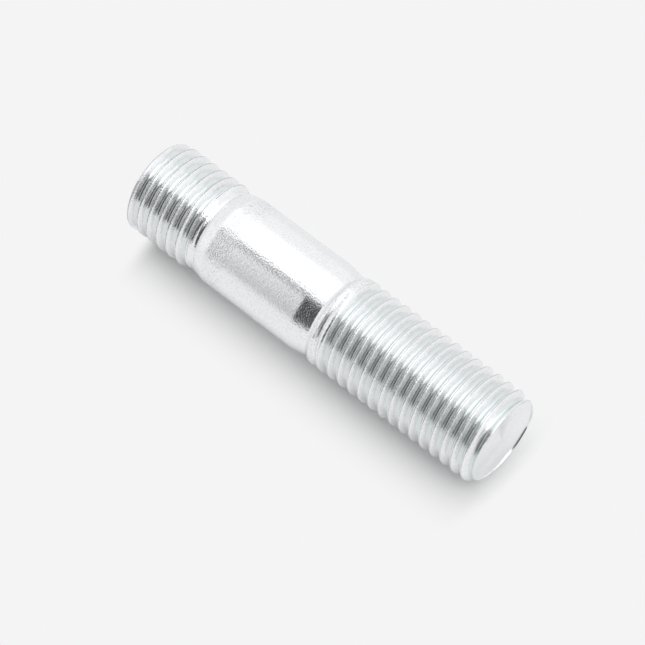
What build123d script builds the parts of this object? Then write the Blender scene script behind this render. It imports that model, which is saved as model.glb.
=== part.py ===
from build123d import *
import math
import os

os.makedirs("parts", exist_ok=True)

# The sprocket bolt is a headless stud, made in one piece from steel bar.
# The short thread screws into the wheel hub, the plain shank locates the sprocket,
# and the long thread takes the nut. Both threads are right-handed and rolled.
# The stud stands on the flat face of its hub end, which is Z = 0. The axis is Z.
# All sizes are in millimetres and angles in degrees.

# Thread sizes, M10 x 1.25, the same at both ends. The groove is a plain V with the real
# pitch, hand and crest. It stops short of the rolled groove's floor, about 0.7 below the crests.
crest_diameter = 9.8
crest_width = 0.2
thread_pitch = 1.25
groove_depth = 0.42

# How far the turned faces lie below the crests
shank_depth = 0.04
neck_depth = 0.4
hub_chamfer_depth = 0.25
nut_chamfer_depth = 0.5

# Lengths along the stud, from the hub end up. The cones end at the necks, where the threads begin.
hub_chamfer_length = 0.35
hub_thread_length = 8.2
hub_cone_length = 1.8
shank_length = 11.2
nut_cone_length = 2.0
nut_thread_length = 20.2
nut_chamfer_length = 0.85

# How each thread ends at its neck: a shoulder, and a groove that fades out
shoulder_length = 0.4
fade_turns = 0.5

# Where each groove starts round the stud
hub_groove_turn = -22.0
nut_groove_turn = -81.0

# Allowances of the cutting tools outside the bar
tool_clearance = 0.05
tool_overrun_turns = 1.05

# Heights of the features above the hub end
hub_neck = hub_thread_length
shank_bottom = hub_neck + hub_cone_length
shank_top = shank_bottom + shank_length
nut_neck = shank_top + nut_cone_length
stud_length = nut_neck + nut_thread_length

crest_radius = crest_diameter / 2
shank_radius = crest_radius - shank_depth
neck_radius = crest_radius - neck_depth
turning_radius = crest_radius + tool_clearance

# The groove's cutter follows a helix half way down the groove. It stands out of the bar until
# its mouth leaves only half of the crest's width.
groove_path_radius = crest_radius - groove_depth / 2
groove_half_width = (thread_pitch - crest_width) / 2
cutter_half_width = groove_half_width + crest_width / 4
cutter_depth = groove_depth * cutter_half_width / groove_half_width


def groove_along(start_height, height, rise):
    """One stretch of the thread groove, as a solid. It climbs outwards by rise on its way up.

    Its section is square to the level helix, so that two stretches meet face to face.
    """
    cone_angle = math.degrees(math.atan(rise / height))
    helix_direction = (0, math.tau * groove_path_radius, thread_pitch)
    with BuildLine() as path:
        Helix(thread_pitch, height, groove_path_radius, (0, 0, start_height), cone_angle=cone_angle)
    with BuildPart() as groove:
        with BuildSketch(Plane(origin=path.line @ 0, x_dir=(1, 0, 0), z_dir=helix_direction)):
            with BuildLine():
                Polyline(
                    (-groove_depth / 2, 0),
                    (cutter_depth - groove_depth / 2, -cutter_half_width),
                    (cutter_depth - groove_depth / 2, cutter_half_width),
                    close=True,
                )
            make_face()
        sweep(path=path.line, is_frenet=True)
    return groove.part


def thread_groove(groove_length, turn):
    """The stretches of one thread's groove, which starts past the end face at Z = 0 and fades out.

    Each is turned to carry on from the one before it, and the last climbs out of the bar.
    """
    overrun = tool_overrun_turns * thread_pitch
    level_height = groove_length + overrun
    stretch_count = math.ceil(level_height / thread_pitch)
    stretch_height = level_height / stretch_count
    stretches = []
    for i in range(stretch_count):
        stretch = groove_along(i * stretch_height - overrun, stretch_height, 0)
        stretches.append(stretch.rotate(Axis.Z, turn + 360 * i * stretch_height / thread_pitch))
    fade = groove_along(groove_length, fade_turns * thread_pitch, groove_depth)
    stretches.append(fade.rotate(Axis.Z, turn + 360 * level_height / thread_pitch))
    return stretches


with BuildPart() as stud:
    # The bar, as thick as the thread crests
    Cylinder(crest_radius, stud_length, align=(Align.CENTER, Align.CENTER, Align.MIN))

    # The helical grooves, which run from each end to the thread's shoulder
    for stretch in thread_groove(hub_thread_length - shoulder_length, hub_groove_turn):
        add(stretch, mode=Mode.SUBTRACT)
    with Locations(Location((0, 0, stud_length), (180, 0, 0))):
        for stretch in thread_groove(nut_thread_length - shoulder_length, nut_groove_turn):
            add(stretch, mode=Mode.SUBTRACT)

    # The chamfer on each end
    for end, depth, length in (
        (Plane.XY, hub_chamfer_depth, hub_chamfer_length),
        (Plane.XY.offset(stud_length).rotated((180, 0, 0)), nut_chamfer_depth, nut_chamfer_length),
    ):
        chamfer_reach = length / depth * (depth + tool_clearance)
        with BuildSketch(end * Plane.XZ):
            with BuildLine():
                Polyline(
                    (crest_radius - depth, 0),
                    (turning_radius, chamfer_reach),
                    (turning_radius, -length),
                    (crest_radius - depth, -length),
                    close=True,
                )
            make_face()
        revolve(axis=Axis.Z, mode=Mode.SUBTRACT)

    # The waist between the threads: neck, cone, shank, cone and neck
    shoulder_reach = shoulder_length / neck_depth * (neck_depth + tool_clearance)
    with BuildSketch(Plane.XZ):
        with BuildLine():
            Polyline(
                (turning_radius, hub_neck - shoulder_reach),
                (neck_radius, hub_neck),
                (shank_radius, shank_bottom),
                (shank_radius, shank_top),
                (neck_radius, nut_neck),
                (turning_radius, nut_neck + shoulder_reach),
                close=True,
            )
        make_face()
    revolve(axis=Axis.Z, mode=Mode.SUBTRACT)

stud.part.label = "stud"
export_step(stud.part, "parts/stud.step")
print("stud length", round(stud_length, 3), "volume", round(stud.part.volume, 2))
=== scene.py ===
import math

import bpy
import numpy as np
from mathutils import Matrix, Vector


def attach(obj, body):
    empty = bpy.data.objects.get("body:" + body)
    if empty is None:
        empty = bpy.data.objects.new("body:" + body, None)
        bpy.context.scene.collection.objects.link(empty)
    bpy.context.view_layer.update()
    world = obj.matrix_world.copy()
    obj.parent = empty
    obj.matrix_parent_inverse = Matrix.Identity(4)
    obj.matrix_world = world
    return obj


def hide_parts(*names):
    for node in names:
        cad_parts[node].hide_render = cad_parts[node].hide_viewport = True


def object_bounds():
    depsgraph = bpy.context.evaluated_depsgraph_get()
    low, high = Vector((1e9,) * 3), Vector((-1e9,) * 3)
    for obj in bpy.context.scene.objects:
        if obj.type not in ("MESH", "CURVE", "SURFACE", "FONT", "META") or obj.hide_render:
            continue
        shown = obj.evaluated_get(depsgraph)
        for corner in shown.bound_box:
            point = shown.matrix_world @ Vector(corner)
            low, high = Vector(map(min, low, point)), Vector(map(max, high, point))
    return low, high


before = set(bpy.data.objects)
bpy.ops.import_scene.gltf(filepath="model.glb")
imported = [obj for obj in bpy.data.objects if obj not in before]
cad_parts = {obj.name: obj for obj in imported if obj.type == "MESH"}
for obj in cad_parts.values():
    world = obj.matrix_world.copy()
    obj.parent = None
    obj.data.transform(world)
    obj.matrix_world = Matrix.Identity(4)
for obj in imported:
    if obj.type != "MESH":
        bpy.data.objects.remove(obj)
cad_low, cad_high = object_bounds()
bpy.ops.object.select_all(action="DESELECT")
bpy.context.scene.view_settings.view_transform = "Standard"

# Camera
# The photograph looks down on the stud from beside its nut end. The stud stands here, so the
# camera is rolled until the stud's axis runs down to the right, as it does in the photograph.
mm = 0.001
photo_side = 645
focal_pixels = 2770.0
film_width = 36.0
nearest_view = 10 * mm
axis_tilt = math.radians(20.8)
axis_slope = math.radians(36.95)

# A point on the stud's axis, the pixel that shows it, and its depth in front of the camera
sighted_height = 20.98 * mm
sighted_pixel = (319.9, 305.4)
sighted_depth = 261.6 * mm

roll = math.radians(90) + axis_slope
level_right = Vector((1, 0, 0))
level_up = Vector((0, math.sin(axis_tilt), math.cos(axis_tilt)))
camera_back = Vector((0, -math.cos(axis_tilt), math.sin(axis_tilt)))
camera_right = math.cos(roll) * level_right + math.sin(roll) * level_up
camera_up = -math.sin(roll) * level_right + math.cos(roll) * level_up
pixel_size = sighted_depth / focal_pixels
sighted_right = (sighted_pixel[0] - photo_side / 2) * pixel_size
sighted_up = (photo_side / 2 - sighted_pixel[1]) * pixel_size
camera_place = (
    Vector((0, 0, sighted_height))
    - sighted_right * camera_right
    - sighted_up * camera_up
    + sighted_depth * camera_back
)
camera_data = bpy.data.cameras.new("photo_camera")
camera_data.sensor_width = film_width
camera_data.lens = focal_pixels / photo_side * film_width
camera_data.clip_start = nearest_view
camera = bpy.data.objects.new("photo_camera", camera_data)
bpy.context.scene.collection.objects.link(camera)
turn = Matrix((camera_right, camera_up, camera_back)).transposed()
camera.matrix_world = Matrix.Translation(camera_place) @ turn.to_4x4()
bpy.context.scene.camera = camera


# Floor and backdrop
# A pale floor under the stud, and a pale sheet that stands along its far side, as the table does
# in the photograph. The sheet shows from its front alone.
def linear(hex_colour):
    """The linear colour of an sRGB hex value."""
    channels = [int(hex_colour[i:i + 2], 16) / 255 for i in (1, 3, 5)]
    return [c / 12.92 if c <= 0.04045 else ((c + 0.055) / 1.055) ** 2.4 for c in channels] + [1.0]


def add_node(tree, kind, links=(), **settings):
    """A node with its settings, whose inputs are linked or given a value."""
    node = tree.nodes.new(kind)
    for name, value in settings.items():
        setattr(node, name, value)
    for socket, value in dict(links).items():
        if isinstance(value, bpy.types.NodeSocket):
            tree.links.new(value, node.inputs[socket])
        else:
            node.inputs[socket].default_value = value
    return node


pale = linear("#f4f4f4")
sheet_side = 3.0
crest_radius = cad_high.x
table_lean = math.radians(25.2)
table_normal = Vector((-math.sin(table_lean), -math.cos(table_lean), 0))

# The stud's shadow fades between two distances from its axis. Past the two heights, the way on
# along the axis counts several times, so that the shadow ends soon after the stud does.
shadow_fade = (4.9 * mm, 10.8 * mm)
shadow_heights = (3.0 * mm, 43.0 * mm)
end_weight = 4.0

card = bpy.data.materials.new("matt_pale_card")
card.use_nodes = True
tree = card.node_tree
tree.nodes.clear()
place = add_node(tree, "ShaderNodeNewGeometry")
parts = add_node(tree, "ShaderNodeSeparateXYZ", {0: place.outputs["Position"]})
beside = add_node(
    tree,
    "ShaderNodeClamp",
    {"Value": parts.outputs["Z"], "Min": shadow_heights[0], "Max": shadow_heights[1]},
)
beyond = add_node(
    tree,
    "ShaderNodeMath",
    {0: parts.outputs["Z"], 1: beside.outputs[0]},
    operation="SUBTRACT",
)
weighted = add_node(
    tree,
    "ShaderNodeMath",
    {0: beyond.outputs[0], 1: end_weight},
    operation="MULTIPLY",
)
offset = add_node(
    tree,
    "ShaderNodeCombineXYZ",
    {"X": parts.outputs["X"], "Y": parts.outputs["Y"], "Z": weighted.outputs[0]},
)
distance = add_node(tree, "ShaderNodeVectorMath", {0: offset.outputs[0]}, operation="LENGTH")
far = add_node(
    tree,
    "ShaderNodeMapRange",
    {
        "Value": distance.outputs["Value"],
        "From Min": shadow_fade[0],
        "From Max": shadow_fade[1],
    },
    interpolation_type="SMOOTHSTEP",
)

# Out of the shadow the pale card is even in colour, to the camera and in reflections of it
path = add_node(tree, "ShaderNodeLightPath")
seen = add_node(
    tree,
    "ShaderNodeMath",
    {0: path.outputs["Is Camera Ray"], 1: path.outputs["Is Glossy Ray"]},
    operation="MAXIMUM",
)
even = add_node(
    tree,
    "ShaderNodeMath",
    {0: seen.outputs[0], 1: far.outputs[0]},
    operation="MULTIPLY",
)
lit = add_node(tree, "ShaderNodeBsdfDiffuse", {"Color": pale})
shone = add_node(tree, "ShaderNodeEmission", {"Color": pale, "Strength": 1.0})
face = add_node(
    tree,
    "ShaderNodeMixShader",
    {0: even.outputs[0], 1: lit.outputs[0], 2: shone.outputs[0]},
)
clear = add_node(tree, "ShaderNodeBsdfTransparent")
sheet = add_node(
    tree,
    "ShaderNodeMixShader",
    {0: place.outputs["Backfacing"], 1: face.outputs[0], 2: clear.outputs[0]},
)
add_node(tree, "ShaderNodeOutputMaterial", {"Surface": sheet.outputs[0]})

bpy.ops.mesh.primitive_plane_add(size=sheet_side, location=(0, 0, 0))
floor = bpy.context.object
floor.name = "floor"
floor.data.materials.append(card)
floor.visible_glossy = False
floor.visible_diffuse = False
floor.visible_shadow = False

bpy.ops.mesh.primitive_plane_add(
    size=sheet_side,
    location=-crest_radius * table_normal,
    rotation=table_normal.to_track_quat("Z", "Y").to_euler(),
)
backdrop = bpy.context.object
backdrop.name = "backdrop"
backdrop.data.materials.append(card)
backdrop.visible_diffuse = False
backdrop.visible_shadow = False


# Light
# The room of the photograph, painted on the world in zones that the stud reflects. White
# softboxes light it from one side, and a grey card stands on the other, where the shadow falls.
all_round = (-180, 180)
# Each zone has its brightness at its two sides, the sides themselves, its lower and upper edge,
# and half the width of the blur on its sides and on its edges. The sides are in degrees round
# the stud from the camera's side, positive towards the shadow, and the edges are in degrees up
# towards the nut end. A zone covers those before it in the list.
room_zones = (
    # The pale room below the hub end
    ((0.93, 0.93), all_round, (-90, -31), (3, 3)),
    # The grey card, with a bright strip along its foot and a dark one above that
    ((0.95, 0.55), (3, 70), (-36, -12), (1.5, 7)),
    ((1.15, 1.15), (-10, 70), (-40, -31), (3, 2.5)),
    ((0.55, 0.4), (8, 70), (-29, -26), (4, 1.5)),
    # The dim wall above the card
    ((0.36, 0.36), (-3, 70), (20, 80), (3, 6)),
    # The pale wall beyond the softboxes, and the softboxes, brightest above
    ((1.0, 1.0), (-180, -52), (-31, 90), (3, 3)),
    ((1.3, 1.3), (-71, -6.5), (-33, -9), (1.5, 2)),
    ((1.3, 1.3), (-71, -3), (-9, 15), (8, 3)),
    ((1.9, 1.9), (-50, -3), (15, 70), (8, 8)),
    # The pale wall beyond the card
    ((0.94, 0.94), (70, 180), (-31, 90), (3, 3)),
    # The bright ceiling
    ((1.15, 1.15), all_round, (72, 90), (3, 5)),
)
room_darkness = 0.065

world = bpy.data.worlds.new("studio_room")
bpy.context.scene.world = world
world.use_nodes = True
tree = world.node_tree
tree.nodes.clear()


def between(value, low, high, blur):
    """One where a value in degrees lies between two limits, which are blurred."""
    rising = add_node(
        tree,
        "ShaderNodeMapRange",
        {"Value": value, "From Min": low - blur, "From Max": low + blur},
        interpolation_type="SMOOTHSTEP",
    )
    falling = add_node(
        tree,
        "ShaderNodeMapRange",
        {"Value": value, "From Min": high + blur, "From Max": high - blur},
        interpolation_type="SMOOTHSTEP",
    )
    return add_node(
        tree,
        "ShaderNodeMath",
        {0: rising.outputs[0], 1: falling.outputs[0]},
        operation="MULTIPLY",
    ).outputs[0]


sky = add_node(tree, "ShaderNodeTexCoord")
parts = add_node(tree, "ShaderNodeSeparateXYZ", {0: sky.outputs["Generated"]})
towards = add_node(
    tree,
    "ShaderNodeMath",
    {0: parts.outputs["Y"], 1: -1.0},
    operation="MULTIPLY",
)
around = add_node(
    tree,
    "ShaderNodeMath",
    {0: parts.outputs["X"], 1: towards.outputs[0]},
    operation="ARCTAN2",
)
upwards = add_node(tree, "ShaderNodeMath", {0: parts.outputs["Z"]}, operation="ARCSINE")
azimuth, elevation = [
    add_node(tree, "ShaderNodeMath", {0: angle.outputs[0]}, operation="DEGREES").outputs[0]
    for angle in (around, upwards)
]
level = room_darkness
for levels, sides, edges, (side_blur, edge_blur) in room_zones:
    zone_level = add_node(
        tree,
        "ShaderNodeMapRange",
        {
            "Value": azimuth,
            "From Min": sides[0],
            "From Max": sides[1],
            "To Min": levels[0],
            "To Max": levels[1],
        },
    )
    side_mask = 1.0 if sides == all_round else between(azimuth, *sides, side_blur)
    edge_mask = between(elevation, *edges, edge_blur)
    mask = add_node(tree, "ShaderNodeMath", {0: side_mask, 1: edge_mask}, operation="MULTIPLY")
    level = add_node(
        tree,
        "ShaderNodeMapRange",
        {"Value": mask.outputs[0], "To Min": level, "To Max": zone_level.outputs[0]},
    ).outputs[0]
path = add_node(tree, "ShaderNodeLightPath")
room = add_node(tree, "ShaderNodeBackground", {"Color": (1, 1, 1, 1), "Strength": level})
shown = add_node(tree, "ShaderNodeBackground", {"Color": pale, "Strength": 1.0})
mixed = add_node(
    tree,
    "ShaderNodeMixShader",
    {0: path.outputs["Is Camera Ray"], 1: room.outputs[0], 2: shown.outputs[0]},
)
add_node(tree, "ShaderNodeOutputWorld", {"Surface": mixed.outputs[0]})


# Stud
# One bar of steel, turned to a waist and chamfered, with a right-hand thread rolled on each end
# and then zinc plated. The rolled section is drawn once and screwed up the whole bar, and the
# turned blank then limits it.
stud_length = cad_high.z
thread_pitch = 1.25 * mm
pitch_radius = 4.525 * mm
groove_depth = 0.66 * mm
half_thread_angle = math.radians(30)
steps_per_turn = 120
turns_below = 2
turns_above = 1
merge_distance = 0.001 * mm

# The rounding of each root and crest towards the hub end and towards the nut end
hub_root_round = 0.42 * mm
nut_root_round = 0.06 * mm
hub_crest_round = 0.1 * mm
nut_crest_round = 0.15 * mm
arc_step = 0.06 * mm

# The seam where the rolled metal laps over, just off the middle of the crest
seam_depth = 0.06 * mm
seam_offset = 0.03 * mm
seam_tolerance = 0.0005 * mm

flank_slope = math.tan(half_thread_angle)
flank_lean = math.radians(90) - half_thread_angle
ridge_apex = pitch_radius + thread_pitch / 4 / flank_slope
groove_apex = pitch_radius - thread_pitch / 4 / flank_slope
root_radius = crest_radius - groove_depth
seam_radius = crest_radius - seam_depth
# How far the root and the crest stop short of the sharp V
root_truncation = root_radius - groove_apex
crest_truncation = ridge_apex - crest_radius


def rounding(radius, truncation):
    """The arc that rounds a root or crest off into its flank: steps out and steps along."""
    start = (truncation + radius / 2) * flank_slope - radius * math.sin(flank_lean)
    leans = np.linspace(0, flank_lean, round(radius / arc_step) + 2)
    return [(radius * (1 - math.cos(lean)), start + radius * math.sin(lean)) for lean in leans]


# The section runs up from one crest to the next, as radii and heights
lower_crest = rounding(nut_crest_round, crest_truncation)[1:]
upper_crest = rounding(hub_crest_round, crest_truncation)[1:]
lower_root = rounding(hub_root_round, root_truncation)
upper_root = rounding(nut_root_round, root_truncation)
section = [(crest_radius - out, along - thread_pitch / 2) for out, along in lower_crest]
section += [(root_radius + out, -along) for out, along in reversed(lower_root)]
section += [(root_radius + out, along) for out, along in upper_root]
section += [(crest_radius - out, thread_pitch / 2 - along) for out, along in reversed(upper_crest)]
section.append((seam_radius, thread_pitch / 2 - seam_offset))
section.append((section[0][0], section[0][1] + thread_pitch))

bpy.ops.mesh.primitive_plane_add(size=mm)
stud = bpy.context.object
stud.name = "zinc_plated_stud"
bpy.ops.object.mode_set(mode="EDIT")
bpy.ops.mesh.merge(type="CENTER")
first = Vector((section[0][0], 0, section[0][1] - turns_below * thread_pitch))
bpy.ops.transform.translate(value=first)
for (radius, height), (next_radius, next_height) in zip(section, section[1:]):
    step = (next_radius - radius, 0, next_height - height)
    bpy.ops.mesh.extrude_vertices_move(TRANSFORM_OT_translate={"value": step})
bpy.ops.object.mode_set(mode="OBJECT")
screw = stud.modifiers.new("thread", "SCREW")
screw.screw_offset = thread_pitch
screw.iterations = turns_below + math.ceil(stud_length / thread_pitch) + turns_above
screw.steps = steps_per_turn
screw.render_steps = steps_per_turn
screw.use_merge_vertices = False
bpy.ops.object.modifier_apply(modifier=screw.name)
bpy.ops.object.mode_set(mode="EDIT")
bpy.ops.mesh.select_all(action="SELECT")
bpy.ops.mesh.remove_doubles(threshold=merge_distance)
bpy.ops.object.mode_set(mode="OBJECT")

# The turned blank, from its hub end up, as heights and radii in millimetres
blank = [
    (-1.7, 3.44), (0.35, 4.9), (7.4, 4.9), (7.75, 4.75), (8.1, 4.53), (8.4, 4.54), (10.0, 4.86),
    (21.2, 4.86), (23.2, 4.5), (23.6, 4.86), (24.4, 4.9), (42.55, 4.9), (45.1, 3.4),
]
blend_length = 0.3
blend_samples = 9
# How far the thread is shifted along the stud, by height, to where each end's thread starts
thread_shift = [(7.9, 0.0), (8.5, 0.15), (9.5, 0.0), (20.0, -0.5675)]
# How far the groove is lifted out of the bar, by its turns from the start of the screw
groove_lift = [
    (8.3, 0.0), (8.6, 0.06), (8.75, 0.16), (8.9, 0.34), (9.0, 0.7),
    (21.6, 0.7), (21.8, 0.5), (22.0, 0.3), (22.3, 0.0),
]
# Between which radii, in millimetres, the roots fade out and the crests fade in
root_radii = (4.3, 4.5)
crest_radii = (4.75, 4.85)
# The crests are rolled a little low, with a ripple of several waves to the turn
crest_droop = 0.012 * mm
ripple_waves = (7.1, 17.3, 29.7)
ripple_start = 1 / 7


def turned_radius(outline, heights):
    """The radius of a turned outline at some heights, with its corners blended."""
    at, radii = zip(*outline)
    offsets = np.linspace(-blend_length / 2, blend_length / 2, blend_samples)
    samples = [np.interp(heights / mm + offset, at, radii) for offset in offsets]
    return sum(samples) / blend_samples * mm


def by_height(table):
    """What a table of heights in millimetres gives at each point of the stud."""
    return np.interp(points[:, 2] / mm, *zip(*table))


points = np.zeros(len(stud.data.vertices) * 3)
stud.data.vertices.foreach_get("co", points)
points = points.reshape(-1, 3)
radii = np.hypot(points[:, 0], points[:, 1])
part_turn = np.arctan2(points[:, 1], points[:, 0]) / math.tau
turns = np.round(points[:, 2] / thread_pitch + turns_below - part_turn) + part_turn
points[:, 2] += by_height(thread_shift) * mm
lift = np.interp(turns, *zip(*groove_lift)) * mm
waves = [np.sin(math.tau * wave * (turns + ripple_start)) for wave in ripple_waves]
ripple = sum(waves) / len(waves)
crest_share = np.interp(radii / mm, crest_radii, (0, 1))
rolled = radii + lift - crest_share * crest_droop * (1 + ripple)
limited = np.minimum(rolled, turned_radius(blank, points[:, 2]))
points[:, :2] *= (limited / radii)[:, None]
stud.data.vertices.foreach_set("co", points.ravel())

# Where the finish changes, by height: the threads, their half-formed turns, the hub end of the
# shank, and all but the rims of the end faces
thread_reach = [(7.8, 1.0), (8.2, 0.0), (23.4, 0.0), (23.8, 1.0)]
half_formed_reach = [
    (6.9, 0.0), (7.6, 0.2), (8.4, 0.2), (8.9, 0.0),
    (23.2, 0.0), (23.5, 0.6), (24.4, 0.6), (24.9, 0.0),
]
shank_end_reach = [(9.9, 0.0), (10.4, 1.0), (11.8, 1.0), (13.5, 0.0)]
rimless_reach = [(0.0, 0.0), (0.1, 1.0), (43.3, 1.0), (43.4, 0.0)]
# How matt the roots are, and how strong the painted shade along the seam is, by height
root_mattness = [(8.2, 0.2), (23.4, 1.0)]
seam_shade_strength = [(0.0, 0.0), (0.1, 0.8), (8.2, 0.8), (23.4, 0.4)]
crest_mattness = 0.5
# How pitted the turned faces, the thread crests and the hub end of the shank are
turned_pits = 0.35
crest_pits = 0.5
shank_end_pits = 0.7

threaded = by_height(thread_reach)
half_formed = by_height(half_formed_reach)
rolled_crest = threaded * crest_share
on_seam = np.abs(radii - seam_radius) < seam_tolerance
# The roots, which are made rougher and darkened in colour as painted shade
root = np.interp(limited / mm, root_radii, (1, 0)) * threaded * by_height(rimless_reach)
pitted = np.maximum.reduce([
    turned_pits * (1 - threaded),
    crest_pits * rolled_crest,
    shank_end_pits * by_height(shank_end_reach),
    half_formed,
])
matt = np.maximum.reduce([
    by_height(root_mattness) * root,
    crest_mattness * rolled_crest,
    half_formed,
])
# How strongly painted shade darkens the seam on each crest
seam_shade = by_height(seam_shade_strength) * on_seam * threaded
for name, shares in (("pitted", pitted), ("matt", matt), ("root", root), ("seam_shade", seam_shade)):
    stud.data.attributes.new(name, "FLOAT", "POINT").data.foreach_set("value", shares)

# The bar is cut off square at both ends and closed by rings that shrink to the middle, each a
# share of the size of the one before it and a step out in millimetres. The nut end's step is
# inwards, and leaves the raised rim round its face.
hub_rings = ((0.985, 0.0), (0.97, 0.0))
nut_rings = ((0.975, 0.0), (0.995, -0.1), (0.98, 0.0), (0.5, 0.0))
cut_tolerance = 0.0001 * mm
sharp_edge_angle = math.radians(40)
bpy.ops.object.mode_set(mode="EDIT")
for height, facing, rings in ((0, -1, hub_rings), (stud_length, 1, nut_rings)):
    bpy.ops.mesh.select_all(action="SELECT")
    bpy.ops.mesh.bisect(
        plane_co=(0, 0, height),
        plane_no=(0, 0, facing),
        clear_outer=True,
        threshold=cut_tolerance,
    )
    for share, step in rings:
        move = {"value": (0, 0, facing * step * mm)}
        bpy.ops.mesh.extrude_edges_move(TRANSFORM_OT_translate=move)
        bpy.ops.transform.resize(value=(share, share, 1), center_override=(0, 0, height))
    bpy.ops.mesh.extrude_edges_move()
    bpy.ops.mesh.merge(type="COLLAPSE")
bpy.ops.mesh.select_all(action="SELECT")
bpy.ops.mesh.normals_make_consistent(inside=False)
bpy.ops.object.mode_set(mode="OBJECT")
bpy.ops.object.shade_smooth_by_angle(angle=sharp_edge_angle)

# Bright zinc plating over rolled and turned steel: a smooth bluish mirror with a fine orange peel
# and a cloudy speckle. It is rougher where the steel was, on the crests and the half-formed turns,
# and duller in the thread roots, whose colour is also darkened there as painted shade. Painted
# shade darkens the seam on each crest.
plating_roughness = (0.15, 0.27)
clear_zinc = linear("#f4f5f7")
cloudy_zinc = linear("#cdd1d4")
# Painted shade for the thread roots
root_shade_zinc = linear("#dfe4e4")
# Painted shade along the seam on each crest
seam_shade_grey = linear("#6d7275")
# The peel and the speckle of the real plating are finer, and are drawn as coarse as they show
peel_size = 0.15 * mm
peel_depth = (0.01 * mm, 0.05 * mm)
cloud_size = 0.22 * mm
cloud_edges = (0.32, 0.55)
turned_clearness = 0.7
# The speckle breaks the painted shade along the seam, down to a share of its darkness
break_edges = (0.4, 0.6)
break_darkness = 0.25

zinc = bpy.data.materials.new("bright_zinc_plating")
zinc.use_nodes = True
tree = zinc.node_tree
tree.nodes.clear()
where = add_node(tree, "ShaderNodeTexCoord")
pitted, matt, root, seam_shade = [
    add_node(tree, "ShaderNodeAttribute", attribute_name=name).outputs["Fac"]
    for name in ("pitted", "matt", "root", "seam_shade")
]
grain = add_node(
    tree,
    "ShaderNodeTexNoise",
    {"Vector": where.outputs["Object"], "Scale": 1 / peel_size, "Detail": 2.0},
)
depth = add_node(
    tree,
    "ShaderNodeMapRange",
    {"Value": pitted, "To Min": peel_depth[0], "To Max": peel_depth[1]},
)
peel = add_node(
    tree,
    "ShaderNodeBump",
    {"Height": grain.outputs[0], "Strength": 1.0, "Distance": depth.outputs[0]},
)
gloss = add_node(
    tree,
    "ShaderNodeMapRange",
    {"Value": matt, "To Min": plating_roughness[0], "To Max": plating_roughness[1]},
)

# The speckle is faint on the turned faces and strongest where the steel was roughest. A Mix
# node's sockets 6 and 7 and its output 2 are its colours.
cloud = add_node(
    tree,
    "ShaderNodeTexNoise",
    {"Vector": where.outputs["Object"], "Scale": 1 / cloud_size, "Detail": 3.0},
)
least_clear = add_node(
    tree,
    "ShaderNodeMapRange",
    {"Value": pitted, "From Min": turned_pits, "To Min": turned_clearness, "To Max": 0.0},
)
clearness = add_node(
    tree,
    "ShaderNodeMapRange",
    {
        "Value": cloud.outputs[0],
        "From Min": cloud_edges[0],
        "From Max": cloud_edges[1],
        "To Min": least_clear.outputs[0],
    },
)
speckled = add_node(
    tree,
    "ShaderNodeMix",
    {0: clearness.outputs[0], 6: cloudy_zinc, 7: clear_zinc},
    data_type="RGBA",
)
# The thread roots are darkened as painted shade in the grooves
root_shaded = add_node(
    tree,
    "ShaderNodeMix",
    {0: root, 6: speckled.outputs[2], 7: root_shade_zinc},
    data_type="RGBA",
)
broken = add_node(
    tree,
    "ShaderNodeMapRange",
    {
        "Value": cloud.outputs[0],
        "From Min": break_edges[0],
        "From Max": break_edges[1],
        "To Min": break_darkness,
    },
)
seam_shade_share = add_node(
    tree,
    "ShaderNodeMath",
    {0: seam_shade, 1: broken.outputs[0]},
    operation="MULTIPLY",
)
# Painted shade along the lap seam on each crest
seam_shaded = add_node(
    tree,
    "ShaderNodeMix",
    {0: seam_shade_share.outputs[0], 6: root_shaded.outputs[2], 7: seam_shade_grey},
    data_type="RGBA",
)
plating = add_node(
    tree,
    "ShaderNodeBsdfPrincipled",
    {
        "Base Color": seam_shaded.outputs[2],
        "Metallic": 1.0,
        "Roughness": gloss.outputs[0],
        "Normal": peel.outputs[0],
    },
)
add_node(tree, "ShaderNodeOutputMaterial", {"Surface": plating.outputs[0]})
stud.data.materials.append(zinc)
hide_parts("stud")
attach(stud, "root")
